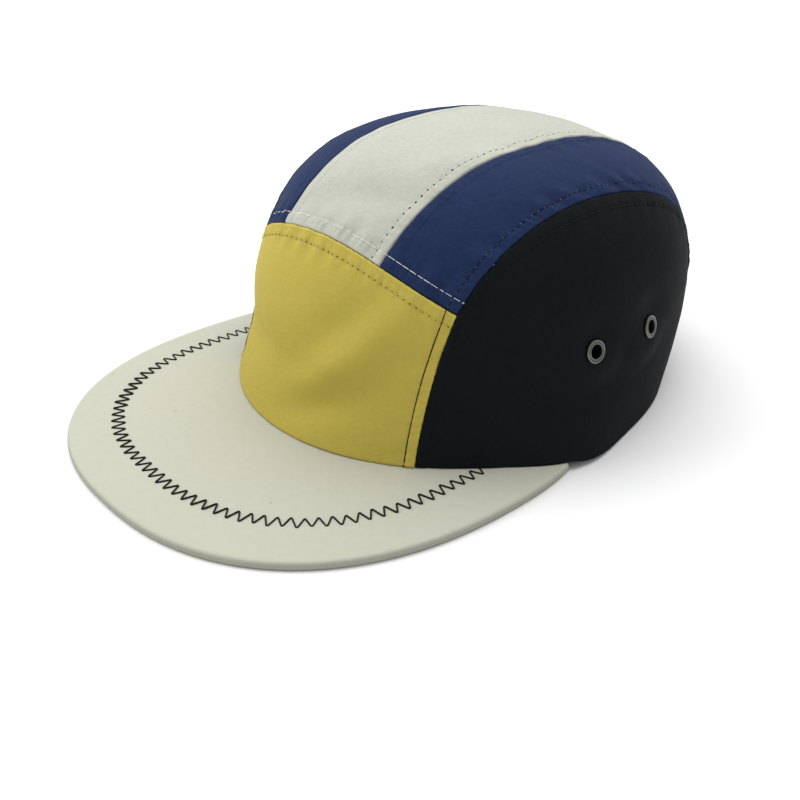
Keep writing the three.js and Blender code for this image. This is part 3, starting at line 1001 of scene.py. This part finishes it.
YELLOW_EDGE = sewn(proud=0.3, scallop=0.12, row=4.1 * MM)
YELLOW_FAR_EDGE = sewn(scallop=0.05, row=1.3 * MM, pucker=0.4, turn=0.4)
YELLOW_TOP = sewn(proud=0.35, scallop=0.1, row=4.9 * MM, turn=0.75, pucker=1.3)
CALM_SEAM = sewn(pucker=0.35, scallop=0.04, dip=0.1, allowance=0.3)
STRIP_END = sewn(row=4.9 * MM, turn=1.15, pucker=2.1)
STRIP_HIGH = sewn(row=4.2 * MM, pucker=0.9, dip=0, allowance=0.3)
STRIP_LOW = sewn(row=4.2 * MM, pucker=1.6, dip=0.7)
STRIP_FAR = sewn(row=4.2 * MM, pucker=0.2, turn=0.6, scallop=0.04)
BLACK_EDGE = sewn(row=5.8 * MM, pucker=0.8, dip=0.5)
BLACK_SIDE = sewn(turn=1.2, pucker=0.5)
# The edges of each kind of panel: left, right, top and foot
YELLOW = (YELLOW_FAR_EDGE, YELLOW_EDGE, YELLOW_TOP, HEM)
WHITE = (CALM_SEAM, sewn(), STRIP_END, STRIP_END)
NEAR_BLUE = (STRIP_HIGH, STRIP_LOW, STRIP_END, STRIP_END)
FAR_BLUE = (STRIP_FAR, STRIP_FAR, STRIP_END, STRIP_END)
BLACK = (BLACK_SIDE, BLACK_SIDE, BLACK_EDGE, HEM)
# The columns are: shape, hand, width and height at the middle in millimetres, cloth, edges
PANELS = {
    "front_panel": (front_panel, 1, (120, 77), "yellow_cloth", YELLOW),
    "centre_panel": (centre_panel, 1, (60, 195), "white_cloth", WHITE),
    "left_strip_panel": (strip_panel, 1, (36, 185), "blue_cloth", NEAR_BLUE),
    "right_strip_panel": (strip_panel, -1, (36, 185), "blue_cloth", FAR_BLUE),
    "left_side_panel": (side_panel, 1, (165, 97), "black_cloth", BLACK),
    "right_side_panel": (side_panel, -1, (165, 97), "black_cloth", BLACK),
    "back_panel": (back_panel, 1, (125, 64), "black_cloth", BLACK),
}


def sew_crown():
    panels = {}
    for name, (shape, hand, size, cloth, edges) in PANELS.items():
        panels[name] = Panel(name, shape, hand, size, edges)
        add_piece(name + "_cloth", panel_mesh(panels[name]), cloth, name)
    return panels


def sew_rows(panels):
    """Rows of stitches beside the seams, by the colour of their thread."""
    hands = ("left", "right")
    strips = [hand + "_strip_panel" for hand in hands]
    sides = [hand + "_side_panel" for hand in hands]
    rows = {
        "white_front": [(name, "foot") for name in ["centre_panel"] + strips],
        "white_near": [("centre_panel", "right")],
        "white_far": [("centre_panel", "left"), ("centre_panel", "top")],
        "yellow_top": [("front_panel", "top")],
        "yellow_near": [("front_panel", "right")],
        "yellow_far": [("front_panel", "left")],
        "navy_high": [(name, "left") for name in strips] + [(name, "top") for name in strips],
        "navy_low": [(name, "right") for name in strips],
        "black_long": [(name, "top") for name in sides + ["back_panel"]],
    }
    lines = {key: [panels[name].row(side) for name, side in places] for key, places in rows.items()}
    stitches, needles = stitch_recipe(), needle_recipe()

    def stitch(name, keys, thread, slot, pitch, length, radius, arch=0.12):
        """One piece of threads, with its sizes in millimetres."""
        values = {"Pitch": pitch * MM, "Length": length * MM, "Thread radius": radius * MM, "Arch": arch * MM,
                  "Lift": THREAD_LIFT * MM, "Thread": PAINTS[thread]}
        stitches.run(name, [line for key in keys for line in lines[key]], values, slot)

    def holes(name, keys, thread, slot, pitch, radius, smallest, lift=THREAD_LIFT):
        """One piece of specks, with its sizes in millimetres and the smallest as a share of the radius."""
        moved = [between_stitches(line, pitch * MM) for key in keys for line in lines[key]]
        values = {"Pitch": pitch * MM, "Radius": radius * MM, "Lift": lift * MM, "Flatness": 0.45,
                  "Smallest": (smallest,) * 3, "Thread": PAINTS[thread]}
        needles.run(name, moved, values, slot)

    stitch("front_row_stitches", ["white_front"], "white_thread", "white_cloth", 2.9, 2.8, 0.12)
    stitch("centre_row_stitches", ["white_near", "white_far"], "white_thread", "white_cloth", 3.2, 2.4, 0.09)
    stitch("yellow_row_stitches", ["yellow_top"], "yellow_thread", "yellow_cloth", 2.7, 1.8, 0.13)
    stitch("dark_near_stitches", ["yellow_near"], "black_thread", "black_cloth", 2.6, 2.7, 0.22, 0.06)
    stitch("dark_far_stitches", ["yellow_far"], "black_thread", "black_cloth", 2.6, 2.7, 0.12, 0.02)
    stitch("navy_high_stitches", ["navy_high"], "navy_thread", "blue_cloth", 2.9, 2.4, 0.07)
    stitch("navy_low_stitches", ["navy_low"], "dark_navy_thread", "blue_cloth", 2.9, 2.3, 0.17)
    stitch("black_row_stitches", ["black_long"], "dark_thread", "black_cloth", 2.9, 2.5, 0.14)
    holes("centre_near_holes", ["white_near"], "black_thread", "black_cloth", 3.2, 0.48, 0.4)
    holes("centre_far_holes", ["white_far"], "black_thread", "black_cloth", 3.2, 0.14, 0.3)
    # Painted shade: brown specks in the yellow row's needle holes
    holes("yellow_needle_hole_shade", ["yellow_top"], "brown_thread", "yellow_cloth", 2.7, 0.36, 0.6, 0.06)
    # Painted highlight: pale specks for glints along the navy row
    holes("navy_needle_glints", ["navy_low"], "grey_thread", "white_cloth", 2.9, 0.13, 0.5)


def between_stitches(line, pitch):
    """The same line without half a stitch at each end, so that holes along it fall between the stitches."""
    points, facing = line
    lengths = run(points, 0)
    whole = lengths[-1]
    half = whole / math.floor(whole / pitch) / 2
    keep = (lengths > half) & (lengths < whole - half)
    ends = [[np.interp(place, lengths, points[:, k]) for k in range(3)] for place in (half, whole - half)]
    points = np.vstack([ends[0], points[keep], ends[1]])
    return points, np.vstack([facing[:1], facing[keep], facing[-1:]])


# The brim
ZIGZAG = {
    "centre": (-2.9 * MM, -66.9 * MM),  # from the crown's centre; sewn a little to the right of the middle
    "half_width": 75.4 * MM,
    "reach": 79.2 * MM,
    "power": 2.42,
    "width": 6 * MM,
    "pitch": 4.8 * MM,
    "thread_radius": 0.34 * MM,
    "bend": 0.38 * MM,
    "lift": 0.1 * MM,
    "tail": 42 * MM,  # how far it runs straight back towards the crown at each side
    "hidden": 0.3 * MM,  # how far its ends reach into the wall
}
# The canvas's unevenness, and how far the zigzag draws it down, in millimetres
CANVAS = {"broad": 0.09, "broad_length": 38, "fine": 0.035, "fine_length": 9, "dip": 0.16, "dip_width": 3.2}
# The section of the brim's edge: how far in from the outline, and how high, as a share of the thickness
EDGE_SECTION = [
    (2.4, 1.0), (1.7, 0.995), (1.15, 0.975), (0.7, 0.92), (0.38, 0.83), (0.16, 0.7), (0.04, 0.55),
    (0.0, 0.42), (0.02, 0.3), (0.1, 0.2), (0.34, 0.165), (0.42, 0.13), (0.3, 0.09), (0.42, 0.04),
    (0.8, 0.01), (1.5, 0.0),
]
TOP_RINGS, UNDER_RINGS, STATIONS = 64, 16, 360
CALM_RINGS = 6  # at the top's outer edge, where the canvas is drawn flat


def zigzag_path():
    """From one side round the front to the other, on the brim's top, with its ends hidden in the wall."""
    turns = np.linspace(-math.pi / 2, math.pi / 2, 400)
    power = 2 / ZIGZAG["power"]
    x = ZIGZAG["half_width"] * np.sign(turns) * np.abs(np.sin(turns)) ** power
    y = -ZIGZAG["reach"] * np.cos(turns) ** power
    tail = np.arange(ZIGZAG["tail"], 0, -1 * MM)
    x = np.concatenate([np.full(len(tail), x[0]), x, np.full(len(tail), x[-1])])
    y = np.concatenate([tail, y, tail[::-1]])
    x, y = x + ZIGZAG["centre"][0], y + ZIGZAG["centre"][1]
    wall = wall_at(np.arctan2(y, x), BRIM["thickness"])
    seen = np.hypot(x, y) > np.hypot(wall[:, 0], wall[:, 1]) - ZIGZAG["hidden"]
    return stack(x[seen], y[seen] + CROWN_Y, BRIM["thickness"])


def brim_height(point):
    """The canvas over the board is not quite flat: it is drawn down a little under the zigzag."""
    x = (point[..., 0] - ZIGZAG["centre"][0]) / ZIGZAG["half_width"]
    y = np.minimum(0, point[..., 1] - ZIGZAG["centre"][1]) / ZIGZAG["reach"]
    power = ZIGZAG["power"]
    off = (np.abs(x) ** power + np.abs(y) ** power) ** (1 / power) - 1
    dip = CANVAS["dip"] * np.exp(-((off * ZIGZAG["half_width"] / (CANVAS["dip_width"] * MM)) ** 2))
    broad = CANVAS["broad"] * waves(point, CANVAS["broad_length"] * MM, 8)
    fine = CANVAS["fine"] * waves(point, CANVAS["fine_length"] * MM, 9)
    return (broad + fine - dip) * MM


def brim_mesh():
    share = np.linspace(-1, 1, STATIONS + 1)
    turn = BRIM_END * share
    outline = brim_outline(turn)
    step = 0.01
    ahead, behind = brim_outline(turn + step), brim_outline(turn - step)
    inward = unit(stack(behind[:, 1] - ahead[:, 1], ahead[:, 0] - behind[:, 0], 0))
    tip = brim_outline(BRIM_END)
    inner = brim_inner(FRONT + (math.atan2(tip[1], tip[0]) - FRONT) * share)
    thickness = BRIM["thickness"]
    section = []
    for inset, level in EDGE_SECTION:
        moved = outline + inward * inset * MM
        moved[:, 2] = level * thickness
        section.append(moved)
    top_start, under_start = section[0], section[-1]
    over = [lerp(inner, top_start, k / TOP_RINGS) for k in range(TOP_RINGS)]
    uneven = smooth(np.arange(TOP_RINGS, 0, -1) / CALM_RINGS)
    for ring, share_here in zip(over, uneven):
        ring[:, 2] = thickness
        ring[:, 2] += brim_height(ring) * share_here
    under = [lerp(under_start, inner, k / UNDER_RINGS) for k in range(1, UNDER_RINGS + 1)]
    for ring in under:
        ring[:, 2] = 0
    grid = np.stack(over + section + under, axis=1) + [0, CROWN_Y, 0]
    index = point_numbers(*grid.shape[:2])
    ends = [index[0, ::-1].tolist(), index[-1].tolist()]
    faces = cells_of(closed_round(index)).reshape(-1, 4).tolist() + ends
    points = grid.reshape(-1, 3)
    uv = points[np.concatenate(faces), :2] / UV_SPAN
    return build_mesh("brim", points, faces, SHARP["brim"], uv)


def make_brim():
    add_piece("brim_canvas", brim_mesh(), "canvas", "brim")
    path = zigzag_path()
    facing = np.broadcast_to([0.0, 0.0, 1.0], path.shape)
    values = {"Pitch": ZIGZAG["pitch"], "Width": ZIGZAG["width"], "Thread radius": ZIGZAG["thread_radius"],
              "Bend": ZIGZAG["bend"], "Lift": ZIGZAG["lift"], "Thread": PAINTS["black_thread"]}
    zigzag_recipe().run("brim_zigzag", [(path, facing)], values, "black_cloth")


# The eyelets
def arc(centre, radius, start, end, count=7):
    """Points of a round stretch of a section, as (radius from the axis, height)."""
    angles = np.radians(np.linspace(start, end, count))
    return [(centre[0] + radius * math.cos(a), centre[1] + radius * math.sin(a)) for a in angles]


def eyelet_section():
    """From the hole's lip over the rolled flange and down the barrel to the washer inside the cap."""
    hole, outer, barrel, flange = (EYELET[key] for key in ("hole", "outer", "barrel", "flange"))
    roll, lip, groove = (EYELET[key] for key in ("roll", "lip", "groove"))
    face = EYELET["clearance"] + flange
    washer, sunk = EYELET["washer"], EYELET["sunk"]
    back = -WALL - EYELET["clearance"]
    middle = (hole + lip + outer - roll) / 2
    grip = back + washer["depth"]
    return (
        arc((hole + lip, face - lip), lip, 180, 60)
        + [(middle - groove, face - groove), (middle, face - 1.3 * groove), (middle + groove, face - groove)]
        + arc((outer - roll, face - roll), roll, 110, -20)
        + [(outer - EYELET["under_inset"], -sunk), (barrel, -sunk)]
        + [(barrel, grip), (outer - washer["inset"], grip)]
        + arc((outer - washer["round"], back - washer["round_at"]), washer["round"], 30, -80, 5)
        + arc((hole + lip, back - flange + lip), lip, 270, 180)
    )


def eyelet_mesh(which, hand):
    section = np.array(eyelet_section())
    sides = EYELET["sides"]
    turns = np.linspace(0, 2 * math.pi, sides, endpoint=False)
    out, high = section[:, 0], section[:, 1]
    rings = stack(out * np.cos(turns)[:, None], out * np.sin(turns)[:, None], high)
    centre, axis = eyelet_place(which, hand)
    turn = Vector((0, 0, 1)).rotation_difference(Vector(axis)).to_matrix()
    points = rings.reshape(-1, 3) @ np.array(turn).T + centre
    index = closed_round(closed_round(point_numbers(sides, len(section))).T).T
    faces = cells_of(index).reshape(-1, 4).tolist()
    face = EYELET["clearance"] + EYELET["flange"]
    # The flange's top, away from the hole, is marked for the painted highlight and the wear
    rub_and_light = EYELET["rubbed_and_lit"]
    rubbed_and_lit = smooth((high - face + rub_and_light["below"]) / rub_and_light["fade"])
    rubbed_and_lit = rubbed_and_lit * smooth((out - EYELET["hole"]) / rub_and_light["hole_fade"])
    return build_mesh("eyelet", points, faces, SHARP["eyelet"], values={"rubbed_and_lit": np.tile(rubbed_and_lit, sides)})


def make_eyelets():
    for name, hand in (("left", 1), ("right", -1)):
        for which in EYELETS:
            eyelet = f"{name}_{which}_eyelet"
            add_piece(eyelet + "_ring", eyelet_mesh(which, hand), "gunmetal", eyelet)


# The room
CAMERA = {
    "azimuth": 48.54,
    "elevation": 29.78,
    "roll": 0.61,
    "distance": 435.8 * MM,
    "target": (10.56 * MM, -39.97 * MM + CROWN_Y, 0),
    "lens": 47.85,  # millimetres, on a sensor 36 mm wide
}


def add_camera():
    azimuth, elevation, roll = (math.radians(CAMERA[key]) for key in ("azimuth", "elevation", "roll"))
    back = Vector((math.sin(azimuth) * math.cos(elevation), -math.cos(azimuth) * math.cos(elevation),
                   math.sin(elevation)))
    level = Vector((math.cos(azimuth), math.sin(azimuth), 0))
    above = back.cross(level)
    right = level * math.cos(roll) + above * math.sin(roll)
    up = above * math.cos(roll) - level * math.sin(roll)
    data = bpy.data.cameras.new("camera")
    data.lens = CAMERA["lens"]
    data.sensor_width = 36
    data.clip_start = 0.01
    camera = add_object("camera", data)
    place = Matrix((right, up, back)).transposed().to_4x4()
    place.translation = Vector(CAMERA["target"]) + back * CAMERA["distance"]
    camera.matrix_world = place
    bpy.context.scene.camera = camera


def add_light(name, place, size, power):
    data = bpy.data.lights.new(name, "AREA")
    data.shape = "DISK"
    data.size = size
    data.energy = power
    light = add_object(name, data)
    light.location = place
    light.rotation_euler = (-Vector(place)).to_track_quat("-Z", "Y").to_euler()


def add_room():
    half, drop = 4, 0.05 * MM  # of the floor, in metres, and how far it lies under the cap
    mesh = bpy.data.meshes.new("floor")
    corners = [(-half, -half, 0), (half, -half, 0), (half, half, 0), (-half, half, 0)]
    mesh.from_pydata(corners, [], [(0, 1, 2, 3)])
    mesh.materials.append(floor_paint())
    floor = add_object("floor", mesh)
    floor.location.z = -drop
    world = bpy.data.worlds.new("room")
    world.use_nodes = True
    sky = world.node_tree.nodes["Background"]
    sky.inputs["Color"].default_value = (1, 1, 1, 1)
    sky.inputs["Strength"].default_value = 0.54
    bpy.context.scene.world = world
    add_light("key_light", (-0.45, 0.5, 1.4), 2.2, 25)
    add_light("side_light", (-1.0, -0.75, 1.0), 1.2, 8.5)
    scene = bpy.context.scene
    scene.view_settings.view_transform = "Standard"
    scene.view_settings.look = "None"


add_camera()
crown = sew_crown()
sew_rows(crown)
make_brim()
make_eyelets()
add_room()
